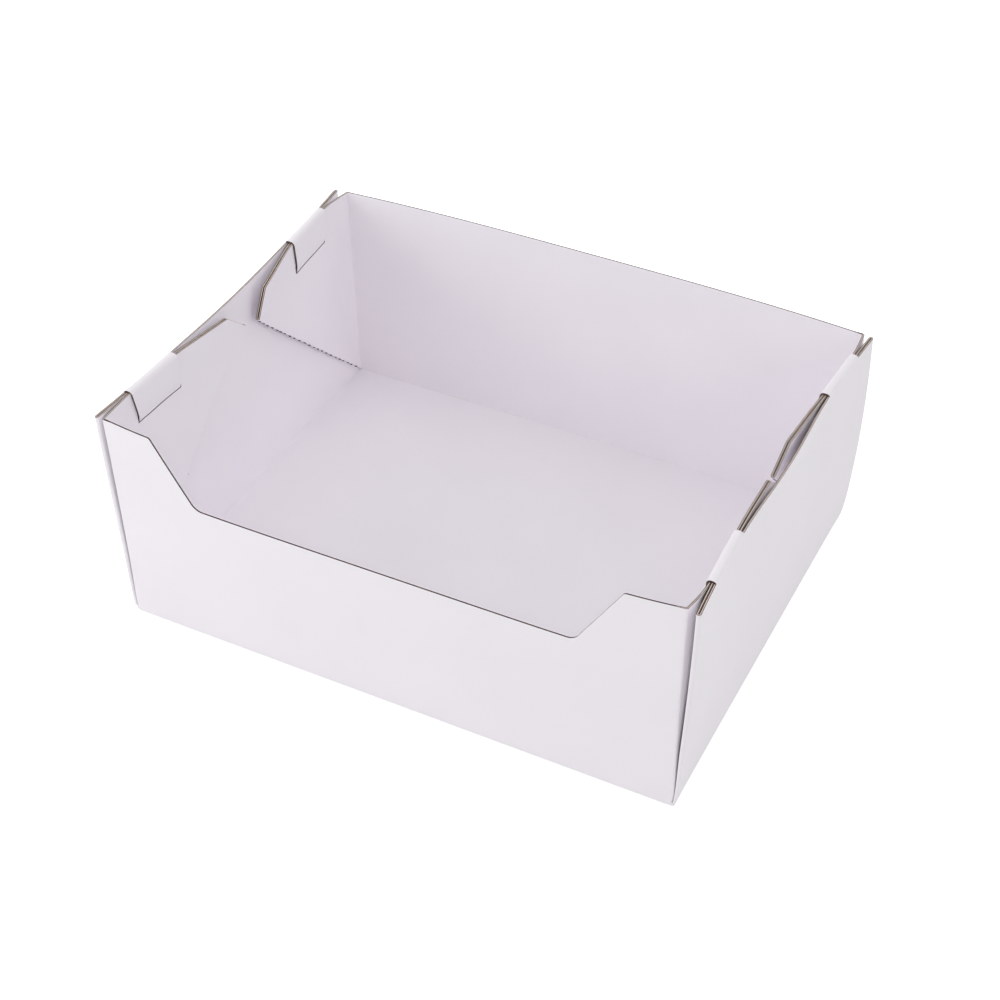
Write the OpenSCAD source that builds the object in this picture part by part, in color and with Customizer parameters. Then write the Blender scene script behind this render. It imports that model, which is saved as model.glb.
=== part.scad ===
// Cardboard litter box: one die-cut sheet folded into an open tray, with webbed corners and four lock tabs.
// Millimetres. X runs along the front wall, Y from front to back, Z up from the floor's underside.

/* [Tray] */
// Width of the floor, left to right
tray_w = 432; // [380:1:500]
// Depth of the floor, front to back
tray_d = 330; // [320:1:360]
// Height of the rim above the surface that the tray stands on
rim_h = 177; // [165:1:195]

/* [Board] */
// Thickness of the corrugated board
board_t = 1.5; // [1.2:0.1:2]
// Air left between two layers that are folded onto each other
ply_gap = 0.3; // [0.2:0.05:0.6]
// Outer radius of the folds along the floor and at the walls' corners
fold_r = 3; // [2.5:0.1:4]
// Height over which the folded layers are crushed together in each floor corner
crush_h = 8; // [6:0.5:12]

/* [Front entry] */
// Height of the sill that the cat steps over
sill_h = 123.5; // [80:0.5:135]
// Width of the entry at the rim
entry_top_w = 356; // [320:1:370]
// Width that the slanted sides of the entry come down to at the sill
entry_sill_w = 294; // [240:1:310]
// Radius at each end of the sill
sill_r = 10; // [6:1:20]
// Radius where the slanted sides meet the rim
brow_r = 3; // [1:0.5:6]

/* [Lean of the walls] */
// How far the front wall's rim leans in at its corners
front_lean = 1; // [0:0.5:4]
// How far the back wall's rim leans in at its corners
back_lean = 3; // [0:0.5:6]
// How far the middle of the front wall bows out from a line between its corners, at the rim
front_bow = 6; // [0:0.5:10]
// How far the middle of the back wall bows out in the same way
back_bow = 7; // [0:0.5:10]
// How far a side wall's rim leans out at the middle
side_lean = 4.5; // [2:0.5:8]
// How much further the doubled corners push the side wall's rim out
end_flare = 6.2; // [4:0.1:9]
// Power of that flare along the side wall
flare_power = 2.5; // [2:0.1:4]
// Share by which the flare swells half way up
flare_swell = 0.75; // [0:0.05:1]
// How far the front and back walls stop short of the floor's width
corner_inset = 3; // [2.5:0.1:4]
// How far those walls' vertical folds lean out at the rim
corner_lean = 4.5; // [3:0.1:6]

/* [Corner webs] */
// Gap between the front and the back web's tips
tip_gap = 23.5; // [18:0.5:50]
// How far that gap lies behind the middle of the side wall
tip_shift = 3.25; // [0:0.25:6]
// How much shorter a front web is at the rim than at its tip
front_notch = 20; // [4:0.5:24]
// How much shorter a back web is at the rim than at its tip
back_notch = 8; // [4:0.5:24]
// How far a web's free tip swings in from the side wall
tip_swing = 7.5; // [4:0.5:12]

/* [Lock tabs] */
// Length of a tab along the rim
tab_w = 52; // [40:1:60]
// Distance from the end of the floor to the tab
tab_inset = 33; // [25:1:40]
// How far the tab's inner leg reaches down from the rim
leg_drop = 27; // [20:0.5:34]
// How much the leg narrows on its corner side
leg_taper = 4; // [0:0.5:8]
// Air between the tab and the layers that it clamps
tab_gap = 0.25; // [0.2:0.05:0.5]
// Air round the tab's tip in its slit
slit_gap = 0.4; // [0.3:0.05:0.8]

/* [Hidden] */
half_w = tray_w / 2;
half_d = tray_d / 2;
layer = board_t + ply_gap;
hairpin_r = layer / 2;
slit_z = rim_h - leg_drop;
front = 0;
back = 1;
board_white = [0.93, 0.92, 0.94];

// Steps of the curves
fold_steps = 3;
corner_steps = 4;
hairpin_steps = 4;
wall_levels = 5;
crush_levels = 4;
bend_count = 6;
// Share of a web's length that each bend line keeps clear of the last one near the floor
bend_step = 0.04;
// Share of the height above a web's tip by which the crease still runs on
crease_creep = 0.1;
// Least length of a web's two layers, where they run out in the floor's corner
web_least = 0.6;
wall_stations = [0.92, 0.85, 0.77, 0.69, 0.6, 0.5, 0.34, 0.17];
// Stations along a front or back wall as shares of its half width, and the power of its bow
bow_stations = [0.92, 0.82, 0.7, 0.56, 0.4, 0.2, 0, -0.2, -0.4, -0.56, -0.7, -0.82, -0.92];
bow_power = 3;

// Rise of a level as a share of the rim's height
function rise(z) = z / rim_h;

function lean(end) = end == front ? front_lean : back_lean;

// Length of a web's crease along the side wall, and the height that it reaches at 45 degrees
function web_reach(end) = (tray_d - tip_gap) / 2 + (end == front ? tip_shift : -tip_shift);
function crease_top(end) = min(web_reach(end), rim_h);
function notch_back(end) = end == front ? front_notch : back_notch;

// Distance of a front or back wall's outer face from the middle
function end_face(end, z) = half_d - lean(end) * rise(z);

// Distances of a tab's two edges from the end wall's face at the rim
function clamp_start(end) = tab_inset - lean(end);
function clamp_end(end) = clamp_start(end) + tab_w;

// Outer face of a side wall, a from the middle along Y and z up
function side_face(a, z) =
    half_w + side_lean * rise(z)
    + end_flare * pow(a / half_d, flare_power) * rise(z) * (1 + flare_swell * (1 - rise(z)));

// A web bends along lines that spread from the floor's corner, so its shape depends on s at the rim
function at_rim(s, z) = s / rise(z);

function swing(end, s, z) =
    let (past = at_rim(s, z) - clamp_end(end))
    past <= 0 ? 0 : tip_swing * rise(z) * past / (web_reach(end) - clamp_end(end));

// Middle of the web's layer next to the side wall, s from the end wall's face
function back_ply(end, s, z) =
    side_face(end_face(end, z) - s, z) - board_t / 2 - layer - swing(end, s, z);

// Outer face of the vertical fold of the front or back wall
function corner_face(z) = half_w - corner_inset + corner_lean * rise(z);

// The layer next to the tray's inside leaves the other one at the corner and joins it at the tab
function parting(end, s, z) =
    let (full = max(0, back_ply(end, 0, z) - layer - (corner_face(z) - board_t / 2)),
         left = max(0, 1 - at_rim(s, z) / clamp_start(end)))
    full * pow(left, 1.5);

function front_ply(end, s, z) = back_ply(end, s, z) - layer - parting(end, s, z);

// Distance of the web's crease from the end wall's face: at 45 degrees up to its tip
function crease(end, z) = min(z, crease_top(end)) + crease_creep * max(0, z - crease_top(end));

// Distance of the crease's hairpin from the end wall's face, to the centre of its curve
function tip_s(end, z) = crease(end, z) - hairpin_r - board_t / 2;

// Lines along which a web bends, by their distance from the end wall at the rim
function web_bends(end) =
    let (in = clamp_start(end), out = clamp_end(end), free = web_reach(end) - out)
    [in / 2, in, (in + out) / 2, out, out + 0.35 * free, out + 0.7 * free];

// Distance of a bend line at one level, never inside the corner's fold
function bend_s(end, k, z) =
    max(web_bends(end)[k] * rise(z), fold_r + (tip_s(end, z) - fold_r) * bend_step * (k + 1));

// The sheet's middle line at one level, from the end wall to the middle of the side wall.
// Each point is [x, a, nx, na], with n pointing to the board's outer face.
function fold_line(end, z) =
    let (face = end_face(end, z),
         mid_r = fold_r - board_t / 2,
         corner_x = front_ply(end, fold_r, z) - mid_r,
         tip = tip_s(end, z),
         tip_x = (front_ply(end, tip, z) + back_ply(end, tip, z)) / 2,
         tip_r = (back_ply(end, tip, z) - front_ply(end, tip, z)) / 2,
         bends = [for (k = [0 : bend_count - 1]) bend_s(end, k, z)],
         edge_s = hairpin_r + board_t / 2,
         edge_x = back_ply(end, edge_s, z) + hairpin_r)
    concat(
        [for (k = [0 : corner_steps]) let (t = 90 * k / corner_steps)
            [corner_x + mid_r * sin(t), face - fold_r + mid_r * cos(t), sin(t), cos(t)]],
        [for (s = bends) [front_ply(end, s, z), face - s, 1, 0]],
        [for (k = [0 : hairpin_steps]) let (t = 180 * k / hairpin_steps)
            [tip_x - tip_r * cos(t), face - tip - tip_r * sin(t), cos(t), sin(t)]],
        [for (s = reversed(bends)) [back_ply(end, s, z), face - s, -1, 0]],
        [for (k = [0 : hairpin_steps]) let (t = 180 * k / hairpin_steps)
            [edge_x - hairpin_r * cos(t), face - edge_s + hairpin_r * sin(t), -cos(t), sin(t)]],
        [for (f = wall_stations) let (a = f * half_d)
            [side_face(a, z) - board_t / 2, a, 1, 0]]);

// The same line low in the corner, where the two hairpins open up and the web's layers run out.
// It turns 90 degrees at the corner, then by turn one way and back the other way.
function crushed_line(end, z) =
    let (open = min(1, max(0, (z - board_t) / (crush_h - board_t))),
         turn = 180 * open * (2 - open),
         mid_r = fold_r - board_t / 2,
         first = web_least + (tip_s(end, crush_h) - fold_r - web_least) * pow(open, 3),
         second = web_least + (tip_s(end, crush_h) - hairpin_r - board_t / 2 - web_least) * pow(open, 3),
         wall_x = side_face(half_d, z) - board_t / 2,
         web_x = wall_x - second * sin(turn) - 2 * hairpin_r * (1 - cos(turn)),
         a0 = end_face(end, z) - fold_r,
         a1 = a0 - first,
         x2 = web_x + hairpin_r * (1 - cos(turn)),
         a2 = a1 - hairpin_r * sin(turn),
         a3 = a2 - second * cos(turn),
         a4 = a3 - hairpin_r * sin(turn))
    concat(
        [for (k = [0 : corner_steps]) let (t = 90 * k / corner_steps)
            [web_x - mid_r + mid_r * sin(t), a0 + mid_r * cos(t), sin(t), cos(t)]],
        [for (k = [1 : bend_count]) [web_x, a0 - first * k / (bend_count + 1), 1, 0]],
        [for (k = [0 : hairpin_steps]) let (t = turn * k / hairpin_steps)
            [web_x + hairpin_r * (1 - cos(t)), a1 - hairpin_r * sin(t), cos(t), sin(t)]],
        [for (k = [1 : bend_count]) let (f = k / (bend_count + 1))
            [x2 + second * sin(turn) * f, a2 - second * cos(turn) * f, cos(turn), sin(turn)]],
        [for (k = [0 : hairpin_steps]) let (t = turn * (1 - k / hairpin_steps))
            [wall_x - hairpin_r * (1 - cos(t)), a4 + hairpin_r * sin(t), cos(t), sin(t)]],
        [for (f = wall_stations) [side_face(f * half_d, z) - board_t / 2, f * half_d, 1, 0]]);

// A quarter of the sheet at one level: out is 1 for the board's outer face and -1 for the inner one.
// The fold along the floor draws it in by inset.
function quarter(end, z, out, inset) =
    let (line = z < crush_h ? crushed_line(end, z) : fold_line(end, z),
         edge = out > 0 ? 0 : board_t,
         kx = 1 - inset / (half_w - edge),
         ka = 1 - inset / (half_d - edge))
    [for (p = line) [kx * (p[0] + out * p[2] * board_t / 2), ka * (p[1] + out * p[3] * board_t / 2)]];

function reversed(list) = [for (k = [len(list) - 1 : -1 : 0]) list[k]];

// A front or back wall between its corners, from right to left; corner is the last point before it
function bowed(end, corner, z) =
    [for (f = bow_stations)
        [corner[0] * f, corner[1] + (end == front ? front_bow : back_bow) * rise(z) * (1 - pow(abs(f), bow_power))]];

// The whole outline at one level: front right, back right, back wall, back left, front left, front wall
function outline(z, out, inset = 0) =
    let (f = quarter(front, z, out, inset), b = quarter(back, z, out, inset))
    concat([for (p = f) [p[0], -p[1], z]],
           [for (p = reversed(b)) [p[0], p[1], z]],
           [for (p = bowed(back, b[0], z)) [p[0], p[1], z]],
           [for (p = b) [-p[0], p[1], z]],
           [for (p = reversed(f)) [-p[0], -p[1], z]],
           [for (p = reversed(bowed(front, f[0], z))) [p[0], -p[1], z]]);

low_top = min(crease_top(front), crease_top(back));
high_top = max(crease_top(front), crease_top(back));
wall_heights = concat(
    [for (k = [1 : crush_levels - 1]) fold_r + (crush_h - fold_r) * k / crush_levels],
    [for (k = [0 : wall_levels]) crush_h + (low_top - crush_h) * k / wall_levels],
    high_top > low_top ? [high_top] : [],
    high_top < rim_h ? [rim_h] : []);

outer_rings = concat(
    [for (k = [0 : fold_steps]) let (t = 90 * k / fold_steps)
        outline(fold_r * (1 - cos(t)), 1, fold_r * (1 - sin(t)))],
    [for (z = wall_heights) outline(z, 1)]);

inner_rings = concat(
    [for (k = [0 : fold_steps]) let (t = 90 * k / fold_steps)
        outline(fold_r - (fold_r - board_t) * cos(t), -1, (fold_r - board_t) * (1 - sin(t)))],
    [for (z = wall_heights) outline(z, -1)]);

// Triangles between two rings of n points, the first of which starts at index i
function band(i, n) =
    [for (k = [0 : n - 1]) let (l = (k + 1) % n)
        each [[i + k, i + n + k, i + n + l], [i + k, i + n + l, i + l]]];

// A closed solid through rings of points, with a flat fan at each end round the ring's own middle
module loft(rings) {
    n = len(rings[0]);
    m = len(rings);
    middle = [for (r = [rings[0], rings[m - 1]]) [0, 0, r[0][2]]];
    fans = [for (k = [0 : n - 1]) let (l = (k + 1) % n)
        each [[m * n, k, l], [m * n + 1, (m - 1) * n + l, (m - 1) * n + k]]];
    polyhedron(concat([for (r = rings) each r], middle),
               concat([for (i = [0 : m - 2]) each band(i * n, n)], fans));
}

// The whole sheet, folded: floor, four walls and the doubled webs at the corners
module folded_sheet() {
    loft(concat(outer_rings, reversed(inner_rings)));
}

// Points of an arc that rounds the corner b of the line a, b, c
function rounded(a, b, c, r, steps = 6) =
    let (u = (a - b) / norm(a - b),
         v = (c - b) / norm(c - b),
         half = acos(u * v) / 2,
         mid = (u + v) / norm(u + v),
         o = b + mid * r / sin(half),
         from = b + u * r / tan(half) - o,
         to = b + v * r / tan(half) - o,
         turn = 180 - 2 * half)
    [for (k = [0 : steps])
        o + (from * sin(turn * (1 - k / steps)) + to * sin(turn * k / steps)) / sin(turn)];

// The entry cut out of the front wall
module entry_cut() {
    over = rim_h + 10;
    top = entry_top_w / 2;
    low = entry_sill_w / 2;
    right = concat(rounded([0, sill_h], [low, sill_h], [top, rim_h], sill_r),
                   rounded([low, sill_h], [top, rim_h], [half_w, rim_h], brow_r));
    translate([0, -half_d + 4 * board_t, 0])
        rotate([90, 0, 0])
            linear_extrude(8 * board_t + front_bow)
                polygon(concat(right, [[top + 2 * brow_r, over], [-top - 2 * brow_r, over]],
                               reversed([for (p = right) [-p[0], p[1]]])));
}

// The free end of a web is cut off on a slant above the tip of its crease
module web_notch(end) {
    reach = web_reach(end);
    outside = half_w + side_lean * rise(reach) - layer - tip_swing / 2;
    inside = outside - 2 * tip_swing - 4 * layer;
    over = 2 * board_t + crease_creep * (rim_h - reach);
    slope = notch_back(end) / (rim_h - reach);
    along = [[reach - board_t, reach - ply_gap], [reach + over, reach - ply_gap],
             [reach + over, rim_h + over], [reach - notch_back(end) - over * slope, rim_h + over]];
    translate([inside, 0, 0])
        rotate([90, 0, 90])
            linear_extrude(outside - inside)
                polygon([for (p = along)
                    [(end == front ? -1 : 1) * (end_face(end, p[1]) - p[0]), p[1]]]);
}

// Edges of a tab's leg along Y, narrower towards the tip
function leg_edge(corner_side, z) =
    let (down = max(0, (rim_h - z) / leg_drop))
    half_d - tab_inset - (corner_side ? leg_taper * down : tab_w - down);

function leg_a(f, z) = leg_edge(false, z) + f * (leg_edge(true, z) - leg_edge(false, z));

// Inner face of the web that the leg lies on
function web_face(end, a, z) = front_ply(end, end_face(end, z) - a, z) - board_t / 2;

// A solid between two grids of points with the same rows, closed round all four edges.
// Where grid points coincide, the triangles that would have no area are left out.
module slab(skin, lining) {
    m = len(skin);
    n = len(skin[0]);
    count = m * n;
    points = concat([for (r = skin) each r], [for (r = lining) each r]);
    sides = concat([for (j = [0 : n - 1]) j],
                   [for (i = [1 : m - 1]) i * n + n - 1],
                   [for (j = [n - 2 : -1 : 0]) (m - 1) * n + j],
                   [for (i = [m - 2 : -1 : 1]) i * n]);
    triangles = concat(
        [for (i = [0 : m - 2], j = [0 : n - 2]) let (p = i * n + j)
            each [[p, p + n + 1, p + 1], [p, p + n, p + n + 1],
                  [count + p, count + p + 1, count + p + n + 1],
                  [count + p, count + p + n + 1, count + p + n]]],
        [for (k = [0 : len(sides) - 1]) let (p = sides[k], q = sides[(k + 1) % len(sides)])
            each [[p, count + q, count + p], [p, q, count + q]]]);
    polyhedron(points, [for (t = triangles) let (a = points[t[0]], b = points[t[1]], c = points[t[2]])
                           if (a != b && b != c && c != a) t]);
}

// Section of a tab at the share f of its length: rows of [outer face, inner face] points in X and Z
function tab_section(end, f) =
    let (seat = rim_h + tab_gap,
         hinge_x = side_face(leg_a(f, rim_h), rim_h),
         leg_x = web_face(end, leg_a(f, rim_h), rim_h) - tab_gap,
         tip_x = web_face(end, leg_a(f, slit_z), slit_z) + board_t - ply_gap / 2,
         foot = function (z) web_face(end, leg_a(f, z), z) - tab_gap,
         r = board_t,
         bend = [for (k = [0 : corner_steps]) 90 * k / corner_steps])
    concat(
        [for (t = bend)
            [[hinge_x - r * (1 - cos(t)), seat + r * sin(t)], [hinge_x - r, seat]]],
        [for (t = bend)
            [[leg_x - r * sin(t), seat + r * cos(t)], [leg_x, seat]]],
        [[[foot(rim_h - leg_drop / 2) - r, rim_h - leg_drop / 2],
          [foot(rim_h - leg_drop / 2), rim_h - leg_drop / 2]]],
        [for (t = bend)
            [[foot(slit_z) - r * cos(t), slit_z + r - r * sin(t)], [foot(slit_z), slit_z + r]]],
        [[[tip_x, slit_z], [tip_x, slit_z + r]]]);

// A lock tab: a strip over the rim, a leg down the inside and a tip bent into the web's slit
module lock_tab(end) {
    stations = [for (k = [0 : 4]) k / 4];
    sign = end == front ? -1 : 1;
    grid = function (face)
        [for (f = stations)
            [for (p = tab_section(end, f)) [p[face][0], sign * leg_a(f, p[face][1]), p[face][1]]]];
    if (end == front) slab(grid(0), grid(1));
    else slab(grid(1), grid(0));
}

// The slit for a tab's tip, through the inner layer of the web only
module slit(end) {
    sign = end == front ? -1 : 1;
    low = slit_z - slit_gap;
    high = slit_z + board_t + 2 * slit_gap;
    depth = ply_gap / 2;
    span = [for (k = [0 : 4]) let (f = k / 4) leg_a(f, slit_z) + slit_gap * (2 * f - 1)];
    grid = function (deep)
        [for (a = span)
            [for (z = [low, high])
                [web_face(end, a, z) + (deep ? board_t + depth : -board_t), sign * a, z]]];
    if (end == front) slab(grid(true), grid(false));
    else slab(grid(false), grid(true));
}

module both_sides() {
    children();
    mirror([1, 0, 0]) children();
}

module folded_tray() {
    color(board_white)
        difference() {
            folded_sheet();
            entry_cut();
            for (end = [front, back]) {
                if (web_reach(end) < rim_h) both_sides() web_notch(end);
                both_sides() slit(end);
            }
        }
}

module lock_tab_front_left() { color(board_white) mirror([1, 0, 0]) lock_tab(front); }
module lock_tab_front_right() { color(board_white) lock_tab(front); }
module lock_tab_rear_left() { color(board_white) mirror([1, 0, 0]) lock_tab(back); }
module lock_tab_rear_right() { color(board_white) lock_tab(back); }

folded_tray();
lock_tab_front_left();
lock_tab_front_right();
lock_tab_rear_left();
lock_tab_rear_right();
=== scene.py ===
"""Cardboard litter box: one die-cut sheet of white corrugated board, folded into a tray with webbed corners.

The sheet and its lock tabs are built here as folded board with real cut edges: two liners and a fluted core
between them. The fold formulas and main sizes are those of the part's source, in millimetres. The lean and
the bow of the walls and the swing of the webs differ from corner to corner, inside the part's box.
X runs along the front wall, Y from front to back, Z up from the floor's underside.
"""

import math
import random

import bpy
import numpy as np
from mathutils import Matrix, Vector


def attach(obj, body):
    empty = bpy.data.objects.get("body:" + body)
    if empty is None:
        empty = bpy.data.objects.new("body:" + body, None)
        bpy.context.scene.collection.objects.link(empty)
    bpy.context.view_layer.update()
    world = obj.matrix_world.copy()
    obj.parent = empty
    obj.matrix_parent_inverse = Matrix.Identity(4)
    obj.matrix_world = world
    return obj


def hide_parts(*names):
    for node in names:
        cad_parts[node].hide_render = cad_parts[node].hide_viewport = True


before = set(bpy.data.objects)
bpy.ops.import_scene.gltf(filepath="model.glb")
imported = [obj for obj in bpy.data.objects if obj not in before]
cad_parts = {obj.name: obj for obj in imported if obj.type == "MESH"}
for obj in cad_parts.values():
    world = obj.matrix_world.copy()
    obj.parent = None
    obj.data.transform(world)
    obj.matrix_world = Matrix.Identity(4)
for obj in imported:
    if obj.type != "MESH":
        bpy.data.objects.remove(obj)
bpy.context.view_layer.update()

MM = 0.001

# Tray
TRAY_W = 432.0
TRAY_D = 330.0
RIM_H = 177.0

# Board
BOARD_T = 1.5
PLY_GAP = 0.3
FOLD_R = 1.6
CORNER_R = 1.7
CRUSH_H = 4.5

# Front entry
SILL_H = 123.5
SILL_HALF = {-1: 147.5, 1: 142.5}
ENTRY_HALF = {-1: 178.7, 1: 176.0}
SILL_R = 10.0
BROW_R = 3.0

# Lean of the walls. Each corner is named by its end and its side, -1 for left and 1 for right.
END_LEAN = {("front", -1): 0.3, ("front", 1): 4.1, ("back", -1): 0.9, ("back", 1): 3.8}
CORNER_LEAN = {("front", -1): 4.9, ("front", 1): 1.8, ("back", -1): 0.8, ("back", 1): 3.7}

# The walls bow out at the middle of their rims, and some stand out at the foot.
BOW = {"front": 6.4, "back": 6.0}
BOW_POWER = {"front": 5, "back": 3}
SIDE_BOW = {-1: -1.2, 1: 3.0}
SIDE_BOW_HALF = 80.0
FRONT_BASE = 2.5
SIDE_BASE = {-1: 0.0, 1: 2.2}

# Side walls: lean, flare towards the corners, and the shape of their hems.
HEM_SHIFT = {("front", -1): 0.2, ("front", 1): 2.1, ("back", -1): -1.6, ("back", 1): -1.5}
HEM_BULGE = {("front", -1): 0.0, ("front", 1): 0.6, ("back", -1): 0.0, ("back", 1): 2.4}
SIDE_LEAN = 4.5
END_FLARE = 6.14
FLARE_POWER = 2.5
FLARE_SWELL = 0.75
FLOOR_SWELL = 1.6
SWELL_H = 6.0
BULGE_START = 100.0

# Where the end walls turn the corner, and how flat the folds there are pressed near the floor.
CORNER_INSET = 1.0
PRESSED_H = 50.0
PRESSED_T = 0.6

# Corner webs
WEB_REACH = {"front": 159.5, "back": 150.0}
NOTCH_BACK = {("front", -1): 19.0, ("front", 1): 20.0, ("back", -1): 5.1, ("back", 1): 8.0}
SWING = {("front", -1): 5.1, ("front", 1): 4.0, ("back", -1): 2.3, ("back", 1): 10.8}
TIP_SWING = {("front", -1): 11.2, ("front", 1): 4.0, ("back", -1): 13.1, ("back", 1): 7.0}
TIP_Z = 120.0
SWING_ONSET = 10.0

# Lock tabs
TAB_W = 52.0
TAB_INSET = 33.0
LEG_DROP = 27.0
LEG_TAPER = 4.0
TAB_GAP = 0.25
HINGE_ROLL = 2.8
HINGE_T = 0.7
HINGE_LAP = 0.12
SLIT_GAP = 1.0
SLIT_UP = 6.0
LEG_SINK = 0.8
LEG_BEND_H = 10.0
LEG_BEND_POWER = 2.2
TAB_BEND_R = 2.6
HINGE_PROUD = 0.03

# Cut edges and the perforation along the creases
LINER_T = 0.48
CORE_DEPTH = 0.1
FLUTE_PITCH = 3.4
FLUTE_T = 0.16
RIM_CRUSH = {"front": 0.72, "back": 0.55}
WHOLE_SHARE = 0.9
DASH_PITCH = 8.0
DASH_SINK = {"front": 0.5, "back": 0.0}

# Light of the studio around the object; where the camera sees it, it is white.
WORLD_LIGHT = 0.51
FLOOR_GLOW = 0.54

# Gaps between layers of board that are narrower than this, in metres, get painted shade: their colour is
# darkened.
GAP_REACH = 0.005

HALF_W = TRAY_W / 2
HALF_D = TRAY_D / 2
LAYER = BOARD_T + PLY_GAP
HAIRPIN_R = LAYER / 2
FOLD_MID = FOLD_R - BOARD_T / 2
CORNER_MID = CORNER_R - BOARD_T / 2
SLIT_Z = RIM_H - LEG_DROP
EDGE_S = HAIRPIN_R + BOARD_T / 2
ENDS = ("front", "back")

# Columns of the mesh: along the entry, round each fold, along the slit and along half a side wall.
ENTRY_STEPS = 14
CORNER_STEPS = 8
HAIRPIN_STEPS = 10
SLIT_START = 7
SLIT_COLUMNS = 9
STATIONS = [0.92, 0.87, 0.81, 0.75, 0.69, 0.62, 0.55, 0.48, 0.4, 0.32, 0.24, 0.16, 0.08]

# A tab's mesh: columns across its width, steps round each of its bends and down its leg.
TAB_COLUMNS = 12
TAB_ARC_STEPS = 8
TAB_LEG_STEPS = 15


def rise(z):
    return z / RIM_H


def end_face(corner, z):
    """Distance of the front or back wall's outer face from the middle, at one of its corners."""
    base = FRONT_BASE * (1 - rise(z)) ** 3 if corner[0] == "front" else 0.0
    return HALF_D + base - END_LEAN[corner] * rise(z)


def wall_face(end, x, z):
    """The same between the two corners, where the wall bows out towards its rim."""
    half = HALF_W - CORNER_INSET
    right = min(1.0, max(0.0, (x + half) / (2 * half)))
    line = end_face((end, -1), z) * (1 - right) + end_face((end, 1), z) * right
    return line + BOW[end] * rise(z) * (1 - min(1.0, abs(x) / half) ** BOW_POWER[end])


def side_base(corner, a, z):
    """How far a side wall's foot stands out towards the front."""
    ahead = a / HALF_D if corner[0] == "front" else -a / HALF_D
    return SIDE_BASE[corner[1]] * (1 - rise(z)) ** 3 * (1 + ahead) / 2


def side_face(corner, a, z):
    """Outer face of a side wall, a from the middle along Y."""
    up = rise(z)
    flare = END_FLARE * (a / HALF_D) ** FLARE_POWER * up * (1 + FLARE_SWELL * (1 - up))
    near_hem = max(0.0, (a - BULGE_START) / (HALF_D - BULGE_START))
    bulge = HEM_BULGE[corner] * 4 * up * (1 - up) * near_hem**2
    swell = FLOOR_SWELL * (1 - math.exp(-z / SWELL_H)) * (1 - up) * (a / HALF_D) ** 10
    bow = SIDE_BOW[corner[1]] * up * max(0.0, 1 - (a / SIDE_BOW_HALF) ** 2) ** 2
    return HALF_W + side_base(corner, a, z) + SIDE_LEAN * up + flare + bulge + swell + bow


def pressed(z):
    """Share of its thickness that the board keeps in a corner's folds, pressed flat near the floor."""
    return PRESSED_T + (1 - PRESSED_T) * min(1.0, z / PRESSED_H)


def swing(corner, s, z):
    """How far the web's free part swings in from the side wall, with a soft onset behind the tab."""
    out = TAB_INSET - END_LEAN[corner] + TAB_W
    past = s / rise(z) - out
    soft = (past + math.hypot(past, SWING_ONSET)) / 2
    late = max(0.0, (z - TIP_Z) / (RIM_H - TIP_Z)) ** 2
    most = SWING[corner] + (TIP_SWING[corner] - SWING[corner]) * late
    return most * rise(z) * soft / (WEB_REACH[corner[0]] - out)


def back_ply(corner, s, z):
    """Middle of the web's layer next to the side wall."""
    wall = side_face(corner, end_face(corner, z) - s, z)
    return wall - (BOARD_T / 2 + LAYER) * pressed(z) - swing(corner, s, z)


def front_ply(corner, s, z):
    """Middle of the web's layer next to the tray's inside."""
    layer = LAYER * pressed(z)
    foot = HALF_W - CORNER_INSET + side_base(corner, HALF_D, z)
    fold = foot + CORNER_LEAN[corner] * rise(z) - BOARD_T / 2 * pressed(z)
    full = max(0.0, back_ply(corner, 0, z) - layer - fold)
    left = max(0.0, 1 - s / rise(z) / (TAB_INSET - END_LEAN[corner]))
    return back_ply(corner, s, z) - layer - full * left**1.5


def tip_s(corner, z):
    """Distance of the crease's hairpin from the end wall's face, or of the web's free edge above it."""
    reach = WEB_REACH[corner[0]]
    past = max(0.0, z - reach) / (RIM_H - reach)
    return min(z, reach) - HAIRPIN_R - BOARD_T / 2 - NOTCH_BACK[corner] * past


def leg_edge(corner_side, z):
    """Edge of a tab's leg along Y: it narrows towards its tip."""
    down = max(0.0, (RIM_H - z) / LEG_DROP)
    return HALF_D - TAB_INSET - (LEG_TAPER * down if corner_side else TAB_W - down)


def web_shares(corner):
    """Shares of a web's length at which its columns stand, with one at each end of the slit."""
    span = tip_s(corner, SLIT_Z) - CORNER_R
    face = end_face(corner, SLIT_Z)
    near = (face - leg_edge(True, SLIT_Z) - SLIT_GAP - CORNER_R) / span
    far = (face - leg_edge(False, SLIT_Z) + SLIT_GAP - CORNER_R) / span
    groups = [(0.0, near, SLIT_START + 1), (near, far, SLIT_COLUMNS), (far, 1.0, 10)]
    return [lo + (hi - lo) * k / n for lo, hi, n in groups for k in range(n)][1:]


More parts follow.
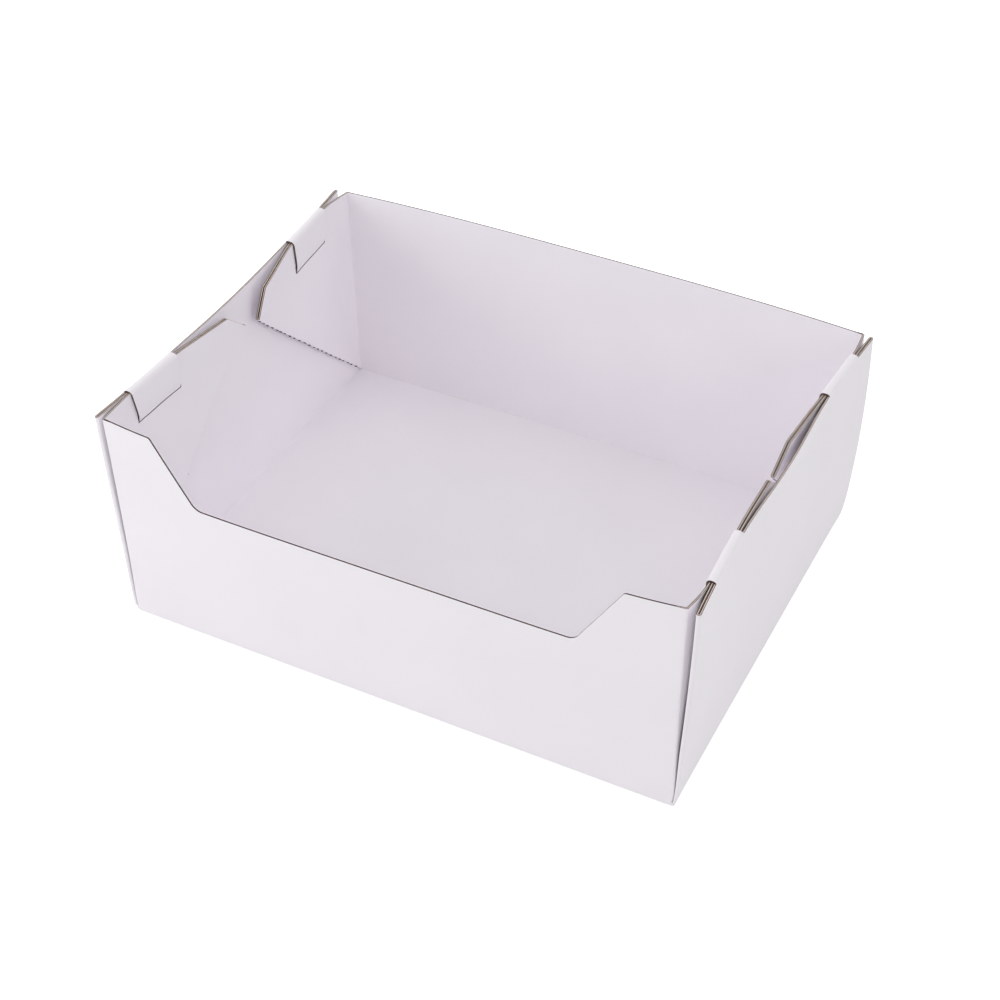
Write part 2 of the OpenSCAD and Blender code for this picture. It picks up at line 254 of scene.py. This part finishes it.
def crushed_points(corner, z, shares):
    """The corner's folds near the floor, where both hairpins open up and the web runs out."""
    grown = min(1.0, max(0.0, (z - BOARD_T) / (CRUSH_H - BOARD_T)))
    turn = math.pi * grown * (2 - grown)
    least = 0.5
    radius = HAIRPIN_R * pressed(z)
    first = least + (tip_s(corner, CRUSH_H) - CORNER_R - least) * grown**3
    second = least + (tip_s(corner, CRUSH_H) - EDGE_S * pressed(CRUSH_H) - least) * grown**3
    wall_x = side_face(corner, HALF_D, z) - BOARD_T / 2 * pressed(z)
    web_x = wall_x - second * math.sin(turn) - 2 * radius * (1 - math.cos(turn))
    a0 = end_face(corner, z) - CORNER_R
    a1 = a0 - first
    x2 = web_x + radius * (1 - math.cos(turn))
    a2 = a1 - radius * math.sin(turn)
    a4 = a2 - second * math.cos(turn) - radius * math.sin(turn)
    points = []
    for k in range(CORNER_STEPS + 1):
        t = math.pi / 2 * k / CORNER_STEPS
        x = web_x - CORNER_MID * (1 - math.sin(t))
        points.append((x, a0 + CORNER_MID * math.cos(t), "corner"))
    for u in shares:
        points.append((web_x, a0 - first * u, "web_in"))
    for k in range(HAIRPIN_STEPS + 1):
        t = turn * k / HAIRPIN_STEPS
        points.append((web_x + radius * (1 - math.cos(t)), a1 - radius * math.sin(t), "crease"))
    for u in reversed(shares):
        reach = second * (1 - u)
        points.append((x2 + reach * math.sin(turn), a2 - reach * math.cos(turn), "web_out"))
    for k in range(HAIRPIN_STEPS + 1):
        t = turn * (1 - k / HAIRPIN_STEPS)
        points.append((wall_x - radius * (1 - math.cos(t)), a4 + radius * math.sin(t), "hem"))
    return points


def folded_points(corner, z, shares):
    """The corner's folds above that: round the corner, along the web, back, and round the hem."""
    face = end_face(corner, z)
    fold_x = front_ply(corner, CORNER_R, z) - CORNER_MID
    tip = tip_s(corner, z)
    far = shares[SLIT_START + SLIT_COLUMNS]
    upright = CORNER_R + (tip_s(corner, min(z, SLIT_Z)) - CORNER_R) * far
    x_in = front_ply(corner, tip, z)
    x_out = back_ply(corner, tip, z)
    middle = (x_in + x_out) / 2
    radius = (x_out - x_in) / 2
    bend = HAIRPIN_R * pressed(z)
    edge = EDGE_S * pressed(z) - HEM_SHIFT[corner] * rise(z)
    edge_x = back_ply(corner, edge, z) + bend
    points = []
    for k in range(CORNER_STEPS + 1):
        t = math.pi / 2 * k / CORNER_STEPS
        a = face - CORNER_R + CORNER_MID * math.cos(t)
        points.append((fold_x + CORNER_MID * math.sin(t), a, "corner"))
    for u in shares:
        s = CORNER_R + (upright - CORNER_R) * u / far
        if u > far:
            s = upright + (tip - upright) * (u - far) / (1 - far)
        points.append((front_ply(corner, s, z), face - s, "web_in"))
    for k in range(HAIRPIN_STEPS + 1):
        t = math.pi * k / HAIRPIN_STEPS
        points.append((middle - radius * math.cos(t), face - tip - radius * math.sin(t), "crease"))
    for u in reversed(shares):
        s = edge + (tip - edge) * u
        points.append((back_ply(corner, s, z), face - s, "web_out"))
    for k in range(HAIRPIN_STEPS + 1):
        t = math.pi * k / HAIRPIN_STEPS
        points.append((edge_x - bend * math.cos(t), face - edge + bend * math.sin(t), "hem"))
    return points


def quarter(corner, z):
    """Middle line of the sheet at one level, from the end wall to the middle of the side wall.

    Each point is (x, distance from the middle along Y, panel name).
    """
    shares = web_shares(corner)
    points = crushed_points(corner, z, shares) if z < CRUSH_H else folded_points(corner, z, shares)
    for f in STATIONS:
        points.append((side_face(corner, f * HALF_D, z) - BOARD_T / 2, f * HALF_D, "side"))
    return points


def rounded(a, b, c, radius, steps):
    """Points of an arc that rounds the corner b of the line a, b, c."""
    a, b, c = (np.array(p, float) for p in (a, b, c))
    u = (a - b) / np.linalg.norm(a - b)
    v = (c - b) / np.linalg.norm(c - b)
    half = math.acos(float(u @ v)) / 2
    centre = b + (u + v) / np.linalg.norm(u + v) * radius / math.sin(half)
    start = b + u * radius / math.tan(half) - centre
    end = b + v * radius / math.tan(half) - centre
    turn = math.pi - 2 * half
    points = []
    for k in range(steps + 1):
        arm = start * math.sin(turn * (1 - k / steps)) + end * math.sin(turn * k / steps)
        points.append(tuple(centre + arm / math.sin(turn)))
    return points


def entry_profile(side):
    """Top edge of one half of the front wall, from the middle to the rim: (distance along X, z)."""
    low = (SILL_HALF[side], SILL_H)
    top = (ENTRY_HALF[side], RIM_H)
    sill = rounded((0, SILL_H), low, top, SILL_R, 10)
    brow = rounded(low, top, (HALF_W, RIM_H), BROW_R, 6)
    flat = [(sill[0][0] * k / ENTRY_STEPS, SILL_H) for k in range(ENTRY_STEPS)]
    foot = np.array(sill[-1])
    climb = np.array(brow[0]) - foot
    slant = [tuple(foot + climb * k / ENTRY_STEPS) for k in range(1, ENTRY_STEPS)]
    return flat + sill + slant + brow


def half_wall(corner, z, profile, reach):
    """Middle line of half of the front or back wall from the middle out, without the corner's own points."""
    end, side = corner
    sign = -1 if end == "front" else 1
    last = profile[-1][0]
    line = list(profile) + [(last + (reach - last) * k / 6, RIM_H) for k in range(1, 6)]
    points = []
    for x, top in line:
        level = z
        if end == "front" and z > CRUSH_H:
            level = CRUSH_H + (z - CRUSH_H) * (top - CRUSH_H) / (RIM_H - CRUSH_H)
        a = wall_face(end, side * x, level) - BOARD_T / 2
        points.append((side * x, sign * a, level, "wall"))
    return points


def ring(z, profiles):
    """The whole middle line at one level, anticlockwise from the middle of the front wall."""
    walls = {}
    sides = {}
    for end in ENDS:
        sign = -1 if end == "front" else 1
        for side in (-1, 1):
            points = quarter((end, side), z)
            sides[end, side] = [(side * x, sign * a, z, name) for x, a, name in points]
            walls[end, side] = half_wall((end, side), z, profiles[side], points[0][0])
    middle = {side: side_face(("front", side), 0, z) - BOARD_T / 2 for side in (-1, 1)}
    return (
        walls["front", 1]
        + sides["front", 1]
        + [(middle[1], 0.0, z, "side")]
        + sides["back", 1][::-1]
        + walls["back", 1][::-1]
        + walls["back", -1][1:]
        + sides["back", -1]
        + [(-middle[-1], 0.0, z, "side")]
        + sides["front", -1][::-1]
        + walls["front", -1][:0:-1]
    )


def mesh_normals(points, faces):
    """Unit normal at each point, weighted by the area and angle-free mean of its faces."""
    normals = np.zeros_like(points)
    for face in faces:
        corners = points[list(face)]
        rolled = np.roll(corners, -1, axis=0)
        normal = np.cross(corners, rolled).sum(axis=0)
        length = np.linalg.norm(normal)
        if length > 0:
            normal = normal / length**0.5
        for index in face:
            normals[index] += normal
    return normals / np.maximum(np.linalg.norm(normals, axis=1), 1e-12)[:, None]


def boundary_loops(faces):
    """Closed loops of the directed edges that only one face has."""
    edges = {}
    for face in faces:
        for a, b in zip(face, face[1:] + face[:1]):
            edges[(a, b)] = edges.get((a, b), 0) + 1
    following = {a: b for a, b in edges if (b, a) not in edges}
    loops = []
    while following:
        start = next(iter(following))
        loop = [start]
        at = following.pop(start)
        while at != start:
            loop.append(at)
            at = following.pop(at)
        loops.append(loop)
    return loops


class Board:
    """Corrugated board round a middle surface: two skins, cut edges with a groove, and the flutes in it.

    Material slots: 0 white liner, 1 cut edge of a liner, 2 core.
    """

    def __init__(self):
        self.points = []
        self.faces = []
        self.slots = []

    def add(self, points, faces, slot):
        base = len(self.points)
        self.points.extend(map(tuple, points))
        for face in faces:
            self.faces.append([base + index for index in face])
            self.slots.append(slot)

    def thicken(self, points, faces, fluted, half, creased=frozenset()):
        """Skins and cut edges.

        fluted says for each point whether a cut there crosses the flutes. creased holds the points of an edge
        that is a crease, not a cut, and so stays white.
        """
        points = np.array(points, float)
        normals = mesh_normals(points, faces)
        n = len(points)
        base = len(self.points)
        self.points.extend(map(tuple, points + normals * half[:, None]))
        self.points.extend(map(tuple, points - normals * half[:, None]))
        for face in faces:
            self.faces.append([base + index for index in face])
            self.slots.append(0)
            self.faces.append([base + n + index for index in reversed(face)])
            self.slots.append(0)
        for loop in boundary_loops(faces):
            self.cut_edge(points, normals, loop, base, n, half, fluted, creased)

    def cut_edge(self, points, normals, loop, base, n, half, fluted, creased):
        """The cut edge along one loop: the liners' edges with a groove between them.

        Where the board is pressed thin, its edge shows the liners alone.
        """
        count = len(loop)
        whole = half[loop] > WHOLE_SHARE * BOARD_T / 2
        here = points[loop]
        up = normals[loop]
        step = np.roll(here, -1, axis=0) - here
        out = np.cross(step, up)
        out /= np.maximum(np.linalg.norm(out, axis=1), 1e-9)[:, None]
        mean = out + np.roll(out, 1, axis=0)
        mean /= np.maximum(np.linalg.norm(mean, axis=1), 1e-9)[:, None]
        lip = np.maximum(half[loop] - LINER_T, 0.06)[:, None]
        rows = [
            here + up * lip,
            here + up * lip - mean * CORE_DEPTH,
            here - up * lip - mean * CORE_DEPTH,
            here - up * lip,
        ]
        start = len(self.points)
        for row in rows:
            self.points.extend(map(tuple, row))
        index = [[base + i for i in loop]]
        index += [[start + count * r + k for k in range(count)] for r in range(4)]
        index += [[base + n + i for i in loop]]
        for k in range(count):
            m = (k + 1) % count
            white = loop[k] in creased and loop[m] in creased
            for r in range(5):
                self.faces.append([index[r][m], index[r][k], index[r + 1][k], index[r + 1][m]])
                self.slots.append(0 if white else 2 if whole[k] and r in (1, 2, 3) else 1)
        self.flutes(here, up, mean, [fluted[i] and w for i, w in zip(loop, whole)])

    def flutes(self, here, up, out, wavy):
        """The wavy medium between the liners where the cut crosses the flutes."""
        count = len(here)
        runs = []
        run = []
        for k in range(count):
            m = (k + 1) % count
            if wavy[k] and wavy[m]:
                run.append(k)
            elif run:
                runs.append(run + [run[-1] + 1])
                run = []
        if run:
            runs.append(run + [(run[-1] + 1) % count])
        amp = BOARD_T / 2 - LINER_T - FLUTE_T / 2
        for run in runs:
            run = [k % count for k in run]
            line = here[run]
            pieces = np.linalg.norm(np.diff(line, axis=0), axis=1)
            lengths = np.concatenate([[0], np.cumsum(pieces)])
            samples = int(lengths[-1] / FLUTE_PITCH * 8)
            if samples < 8:
                continue
            at = np.linspace(0, lengths[-1], samples + 1)
            place = np.stack([np.interp(at, lengths, line[:, c]) for c in range(3)], axis=1)
            side = np.stack([np.interp(at, lengths, up[run][:, c]) for c in range(3)], axis=1)
            ahead = np.stack([np.interp(at, lengths, out[run][:, c]) for c in range(3)], axis=1)
            phase = 2 * math.pi * at / FLUTE_PITCH
            centre = place + side * (amp * np.sin(phase))[:, None]
            corners = [
                centre + side * FLUTE_T / 2 - ahead * 0.06,
                centre - side * FLUTE_T / 2 - ahead * 0.06,
                centre - side * FLUTE_T / 2 - ahead * (CORE_DEPTH + 0.05),
                centre + side * FLUTE_T / 2 - ahead * (CORE_DEPTH + 0.05),
            ]
            m = samples + 1
            pts = np.concatenate(corners)
            faces = []
            for k in range(samples):
                for r in range(4):
                    q = (r + 1) % 4
                    faces.append([r * m + k, q * m + k, q * m + k + 1, r * m + k + 1])
            faces.append([3 * m, 2 * m, m, 0])
            faces.append([samples, m + samples, 2 * m + samples, 3 * m + samples])
            self.add(pts, faces, 2)

    def build(self, name, materials):
        mesh = bpy.data.meshes.new(name)
        mesh.from_pydata([tuple(MM * c for c in p) for p in self.points], [], self.faces)
        for material in materials:
            mesh.materials.append(material)
        mesh.polygons.foreach_set("material_index", self.slots)
        mesh.validate()
        mesh.shade_smooth()
        mesh.set_sharp_from_angle(angle=math.radians(50))
        mesh.update()
        piece = bpy.data.objects.new(name, mesh)
        bpy.context.scene.collection.objects.link(piece)
        return piece


def crease_runs(names):
    """First and last column of each web's crease."""
    runs = []
    for j, name in enumerate(names):
        if name != "crease":
            continue
        if names[j - 1] != "crease":
            runs.append([j, j])
        runs[-1][1] = j
    return runs


def slit_holes(row):
    """Columns of the faces that each slit takes out of the webs' inner layers."""
    names = [p[3] for p in row]
    holes = set()
    for j, name in enumerate(names):
        if name == "web_in" and names[j - 1] != "web_in":
            count = names[j:].index("crease" if names[j - 1] == "corner" else "corner")
            first = SLIT_START if names[j - 1] == "corner" else count - 1 - SLIT_START - SLIT_COLUMNS
            holes.update(range(j + first, j + first + SLIT_COLUMNS))
    return holes


def crease_dashes(board, corner):
    """Torn bits of liner that stand along the perforated crease of a web."""
    end, side = corner
    sign = -1 if end == "front" else 1
    spread = random.Random(7 + len(end) * 10 + side)
    z = 9.0
    while z < WEB_REACH[end] - 4:
        tip = tip_s(corner, z)
        x = (front_ply(corner, tip, z) + back_ply(corner, tip, z)) / 2
        radius = (back_ply(corner, tip, z) - front_ply(corner, tip, z)) / 2
        a = end_face(corner, z) - tip - radius
        along = np.array([0, -sign, 1]) / math.sqrt(2)
        out = np.array([0, -sign, -1]) / math.sqrt(2)
        across = np.array([1.0, 0, 0])
        centre = np.array([side * x, sign * a, z]) + out * (BOARD_T / 2 * pressed(z) - DASH_SINK[end])
        centre = centre - across * side * spread.uniform(0.1, 0.5)
        length = spread.uniform(1.0, 2.4)
        height = spread.uniform(0.35, 0.8)
        rings = []
        for i in range(1, 5):
            t = math.pi * i / 5
            ring_points = []
            for k in range(8):
                turn = 2 * math.pi * k / 8
                rough = spread.uniform(0.75, 1.15)
                wide = across * math.cos(turn) * 0.95 + out * math.sin(turn) * height
                ring_points.append(centre + along * length * math.cos(t) + wide * math.sin(t) * rough)
            rings.append(ring_points)
        points = [centre + along * length] + [p for ring_points in rings for p in ring_points]
        points.append(centre - along * length)
        faces = []
        for k in range(8):
            m = (k + 1) % 8
            faces.append([0, 1 + k, 1 + m])
            for i in range(3):
                faces.append([1 + 8 * i + k, 9 + 8 * i + k, 9 + 8 * i + m, 1 + 8 * i + m])
            faces.append([33, 25 + m, 25 + k])
        if sign > 0:
            faces = [face[::-1] for face in faces]
        board.add(points, faces, 1)
        z += DASH_PITCH * spread.uniform(0.75, 1.25) / math.sqrt(2)


def tray_board():
    """The whole sheet: floor, walls and webs, with the entry, the notches and the slits left open."""
    profiles = {side: entry_profile(side) for side in (-1, 1)}
    slit_low = SLIT_Z - SLIT_GAP
    slit_high = SLIT_Z + SLIT_UP
    levels = [FOLD_R + (CRUSH_H - FOLD_R) * k / 5 for k in range(1, 6)]
    levels += [6, 8, 11, 15, 20, 26, 33, 41, 50, 60, 70, 80, 90, 100, 110, 119, 127, 134, 140, 145]
    levels += [slit_low, WEB_REACH["back"], slit_high, WEB_REACH["front"], 163, 170, RIM_H - 2, RIM_H]
    fold_rows = 5
    rows = []
    for k in range(fold_rows + 1):
        t = math.pi / 2 * k / fold_rows
        inset = FOLD_MID * (1 - math.sin(t))
        kx = 1 - inset / (HALF_W - BOARD_T / 2)
        ky = 1 - inset / (HALF_D - BOARD_T / 2)
        low = ring(FOLD_R - FOLD_MID * math.cos(t), profiles)
        rows.append([(kx * x, ky * y, level, name) for x, y, level, name in low])
    rows += [ring(z, profiles) for z in levels]
    names = [p[3] for p in rows[0]]
    n = len(names)
    free_rows = {end: fold_rows + 1 + levels.index(WEB_REACH[end]) for end in ENDS}
    creases = [(a, b, free_rows["front" if rows[0][a][1] < 0 else "back"]) for a, b in crease_runs(names)]
    slit_rows = range(fold_rows + 1 + levels.index(slit_low), fold_rows + 1 + levels.index(slit_high))
    holes = slit_holes(rows[0])
    index = {}
    points = []
    fluted = []
    half = []
    for i, row in enumerate(rows):
        for j, (x, y, z, name) in enumerate(row):
            if any(a < j < b and i > free for a, b, free in creases):
                continue
            index[i, j] = len(points)
            points.append((x, y, z))
            fluted.append(name in ("wall", "corner", "web_in"))
            share = 1 if name in ("wall", "side") else pressed(z)
            if name == "wall" and i == len(rows) - 1:
                share = RIM_CRUSH["front" if y < 0 else "back"]
            half.append(BOARD_T / 2 * share)
    faces = []
    for i in range(len(rows) - 1):
        for j in range(n):
            m = (j + 1) % n
            if any(a <= j < b and i >= free for a, b, free in creases):
                continue
            if i in slit_rows and j in holes:
                continue
            faces.append([index[i, j], index[i, m], index[i + 1, m], index[i + 1, j]])
    faces.append([index[0, j] for j in reversed(range(n))])
    board = Board()
    board.thicken(points, faces, fluted, np.array(half))
    for end in ENDS:
        for side in (-1, 1):
            crease_dashes(board, (end, side))
    return board


def tab_path(corner, f):
    """Middle line of a tab's section at the share f of its length: (x, a, z, half thickness)."""

    def leg_a(z):
        return leg_edge(False, z) + f * (leg_edge(True, z) - leg_edge(False, z))

    def web_face(z):
        return front_ply(corner, end_face(corner, z) - leg_a(z), z) - BOARD_T / 2

    def leg_x(z):
        sunk = (max(0.0, SLIT_Z + LEG_BEND_H - z) / LEG_BEND_H) ** LEG_BEND_POWER
        return web_face(z) - (TAB_GAP + half) * (1 - sunk) + LEG_SINK * sunk

    half = BOARD_T / 2
    top = RIM_H + TAB_GAP + half
    foot = RIM_H - HINGE_LAP
    hinge_x = side_face(corner, leg_a(RIM_H), RIM_H) - HINGE_T / 2 + HINGE_PROUD
    rim_x = leg_x(RIM_H)
    path = []
    for k in range(TAB_ARC_STEPS + 1):
        t = math.pi / 2 * k / TAB_ARC_STEPS
        thick = HINGE_T / 2 + (half - HINGE_T / 2) * math.sin(t)
        path.append((hinge_x - HINGE_ROLL * (1 - math.cos(t)), foot + (top - foot) * math.sin(t), thick))
    r = TAB_BEND_R
    start = path[-1][0]
    path += [(start + (rim_x + r - start) * k / 3, top, half) for k in range(1, 3)]
    for k in range(TAB_ARC_STEPS + 1):
        t = math.pi / 2 * k / TAB_ARC_STEPS
        path.append((rim_x + r * (1 - math.sin(t)), top - r * (1 - math.cos(t)), half))
    high = path[-1][1]
    for k in range(1, TAB_LEG_STEPS + 1):
        z = high + (SLIT_Z - high) * k / TAB_LEG_STEPS
        path.append((leg_x(z), z, half))
    return [(x, leg_a(z), z, thick) for x, z, thick in path]


def tab_board(corner):
    """A lock tab: a strip over the rim and a leg down the inside, whose tip goes into the slit."""
    end, side = corner
    sign = -1 if end == "front" else 1
    paths = [tab_path(corner, k / TAB_COLUMNS) for k in range(TAB_COLUMNS + 1)]
    grid = [[(side * x, sign * a, z, thick) for x, a, z, thick in path] for path in paths]
    m = len(grid[0])
    points = np.array([p for column in grid for p in column])
    faces = []
    for k in range(TAB_COLUMNS):
        for r in range(m - 1):
            quad = [k * m + r, (k + 1) * m + r, (k + 1) * m + r + 1, k * m + r + 1]
            faces.append(quad if side * sign > 0 else quad[::-1])
    board = Board()
    hinge = {k * m for k in range(TAB_COLUMNS + 1)}
    board.thicken(points[:, :3], faces, [False] * len(points), points[:, 3], hinge)
    return board


def noise_factor(nodes, links, scale, detail, low, high, coords):
    noise = nodes.new("ShaderNodeTexNoise")
    noise.inputs["Scale"].default_value = scale
    noise.inputs["Detail"].default_value = detail
    links.new(coords, noise.inputs["Vector"])
    span = nodes.new("ShaderNodeMapRange")
    span.inputs["From Min"].default_value = 0.3
    span.inputs["From Max"].default_value = 0.7
    span.inputs["To Min"].default_value = low
    span.inputs["To Max"].default_value = high
    links.new(noise.outputs["Fac"], span.inputs["Value"])
    return span.outputs["Result"]


def new_material(name):
    material = bpy.data.materials.new(name)
    material.use_nodes = True
    nodes = material.node_tree.nodes
    links = material.node_tree.links
    shader = nodes["Principled BSDF"]
    coords = nodes.new("ShaderNodeTexCoord").outputs["Object"]
    return material, nodes, links, shader, coords


def two_tone(nodes, links, factor, dark, light):
    mix = nodes.new("ShaderNodeMix")
    mix.data_type = "RGBA"
    mix.inputs["A"].default_value = (*dark, 1)
    mix.inputs["B"].default_value = (*light, 1)
    links.new(factor, mix.inputs["Factor"])
    return mix.outputs["Result"]


def painted_gap_shade(nodes, links, colour):
    """Painted shade: the colour darkened in narrow gaps between layers of board, where hardly any light gets
    out.
    """
    depth = nodes.new("ShaderNodeAmbientOcclusion")
    depth.samples = 8
    depth.inputs["Distance"].default_value = GAP_REACH
    span = nodes.new("ShaderNodeMapRange")
    span.inputs["From Min"].default_value = 0.06
    span.inputs["From Max"].default_value = 0.22
    span.inputs["To Min"].default_value = 0.04
    span.inputs["To Max"].default_value = 1
    links.new(depth.outputs["AO"], span.inputs["Value"])
    mix = nodes.new("ShaderNodeMix")
    mix.data_type = "RGBA"
    mix.inputs["A"].default_value = (0, 0, 0, 1)
    links.new(span.outputs["Result"], mix.inputs["Factor"])
    links.new(colour, mix.inputs["B"])
    return mix.outputs["Result"]


def board_material():
    """White liner: matt, a little mottled, with the paper's fine tooth."""
    material, nodes, links, shader, coords = new_material("white_liner")
    mottle = noise_factor(nodes, links, 18, 3, 0, 1, coords)
    paper = two_tone(nodes, links, mottle, (0.935, 0.90, 0.945), (0.955, 0.92, 0.965))
    # Painted shade: the liner's colour is darkened in narrow gaps between layers.
    links.new(painted_gap_shade(nodes, links, paper), shader.inputs["Base Color"])
    shader.inputs["Roughness"].default_value = 0.62
    shader.inputs["Specular IOR Level"].default_value = 0.3
    grain = nodes.new("ShaderNodeTexNoise")
    grain.inputs["Scale"].default_value = 1400
    grain.inputs["Detail"].default_value = 4
    links.new(coords, grain.inputs["Vector"])
    bump = nodes.new("ShaderNodeBump")
    bump.inputs["Strength"].default_value = 0.12
    bump.inputs["Distance"].default_value = 0.0001
    links.new(grain.outputs["Fac"], bump.inputs["Height"])
    links.new(bump.outputs["Normal"], shader.inputs["Normal"])
    return material


def edge_material(name, dark, light, scale):
    """Cut kraft paper, darker here and there where the die has pressed it."""
    material, nodes, links, shader, coords = new_material(name)
    spots = noise_factor(nodes, links, scale, 4, 0, 1, coords)
    paper = two_tone(nodes, links, spots, dark, light)
    # Painted shade: the cut edge's colour is darkened in narrow gaps between layers.
    links.new(painted_gap_shade(nodes, links, paper), shader.inputs["Base Color"])
    shader.inputs["Roughness"].default_value = 0.85
    shader.inputs["Specular IOR Level"].default_value = 0.2
    return material


def seen_directly(nodes, links):
    """1 where a surface is seen, directly, mirrored or through glass, and 0 where it only gives light."""
    path = nodes.new("ShaderNodeLightPath")
    first = nodes.new("ShaderNodeMath")
    first.operation = "MAXIMUM"
    second = nodes.new("ShaderNodeMath")
    second.operation = "MAXIMUM"
    links.new(path.outputs["Is Camera Ray"], first.inputs[0])
    links.new(path.outputs["Is Glossy Ray"], first.inputs[1])
    links.new(first.outputs["Value"], second.inputs[0])
    links.new(path.outputs["Is Transmission Ray"], second.inputs[1])
    return second.outputs["Value"]


def floor_material():
    """White surface that keeps the object's shadow and reads as plain white."""
    material, nodes, links, shader = new_material("studio_floor")[:4]
    shader.inputs["Base Color"].default_value = (0.9, 0.9, 0.9, 1)
    shader.inputs["Roughness"].default_value = 0.9
    shader.inputs["Specular IOR Level"].default_value = 0.0
    gain = nodes.new("ShaderNodeMath")
    gain.operation = "MULTIPLY"
    gain.inputs[1].default_value = FLOOR_GLOW
    links.new(seen_directly(nodes, links), gain.inputs[0])
    shader.inputs["Emission Color"].default_value = (1, 1, 1, 1)
    links.new(gain.outputs["Value"], shader.inputs["Emission Strength"])
    return material


def camera():
    """The photograph's viewing angle, fitted to the corners of the floor and the rim."""
    data = bpy.data.cameras.new("camera")
    data.sensor_width = 36
    data.lens = 73.352
    data.clip_start = 0.05
    data.clip_end = 20
    obj = bpy.data.objects.new("camera", data)
    bpy.context.scene.collection.objects.link(obj)
    right = Vector((0.890728, 0.454367, -0.012438))
    down = Vector((0.287087, -0.583592, -0.759606))
    look = Vector((-0.352399, 0.673032, -0.650264))
    turn = Matrix((right, -down, -look)).transposed()
    obj.matrix_world = Matrix.Translation(Vector((0.53699, -1.01912, 1.04628))) @ turn.to_4x4()
    bpy.context.scene.camera = obj


def area_light(name, place, target, size, power):
    data = bpy.data.lights.new(name, "AREA")
    data.shape = "RECTANGLE"
    data.size = size[0]
    data.size_y = size[1]
    data.energy = power
    obj = bpy.data.objects.new(name, data)
    bpy.context.scene.collection.objects.link(obj)
    obj.location = place
    obj.rotation_euler = (Vector(target) - Vector(place)).to_track_quat("-Z", "Y").to_euler()


def studio():
    mesh = bpy.data.meshes.new("studio_floor")
    mesh.from_pydata([(-6, -6, 0), (6, -6, 0), (6, 6, 0), (-6, 6, 0)], [], [(0, 1, 2, 3)])
    mesh.materials.append(floor_material())
    floor = bpy.data.objects.new("studio_floor", mesh)
    bpy.context.scene.collection.objects.link(floor)
    world = bpy.data.worlds.new("studio")
    world.use_nodes = True
    nodes = world.node_tree.nodes
    links = world.node_tree.links
    strength = nodes.new("ShaderNodeMath")
    strength.operation = "MULTIPLY_ADD"
    strength.inputs[1].default_value = 1 - WORLD_LIGHT
    strength.inputs[2].default_value = WORLD_LIGHT
    links.new(seen_directly(nodes, links), strength.inputs[0])
    nodes["Background"].inputs["Color"].default_value = (1, 1, 1, 1)
    links.new(strength.outputs["Value"], nodes["Background"].inputs["Strength"])
    bpy.context.scene.world = world
    area_light("key", (-0.95, -1.35, 0.65), (0, 0, 0.08), (0.8, 0.8), 6.0)
    area_light("front", (-0.7, -1.6, 1.4), (0, 0, 0.08), (1.0, 1.0), 1.6)
    area_light("right", (2.0, -0.7, 1.3), (0, 0, 0.08), (1.0, 1.0), 7.4)
    area_light("above", (0, 0, 2.4), (0, 0, 0.08), (1.8, 1.8), 6.6)
    area_light("back", (1.2, 1.0, 1.8), (0, 0, 0.08), (1.0, 1.0), 2.6)
    area_light("left", (-1.5, 1.1, 1.0), (0, 0, 0.08), (0.9, 0.9), 8.0)


def main():
    camera()
    white = board_material()
    cut = edge_material("cut_liner", (0.025, 0.01, 0.006), (0.085, 0.038, 0.024), 160)
    core = edge_material("cut_core", (0.82, 0.69, 0.61), (0.96, 0.87, 0.81), 220)
    bent_core = edge_material("crushed_core", (0.10, 0.065, 0.05), (0.33, 0.25, 0.2), 300)
    sheet = tray_board().build("folded_board", (white, cut, core))
    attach(sheet, "tray")
    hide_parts("folded_tray")
    for end, word in (("front", "front"), ("back", "rear")):
        for side, hand in ((-1, "left"), (1, "right")):
            tab = tab_board((end, side)).build(f"tab_board_{word}_{hand}", (white, cut, bent_core))
            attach(tab, f"tab_{word}_{hand}")
            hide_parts(f"lock_tab_{word}_{hand}")
    studio()
    bpy.context.scene.view_settings.view_transform = "Standard"


main()
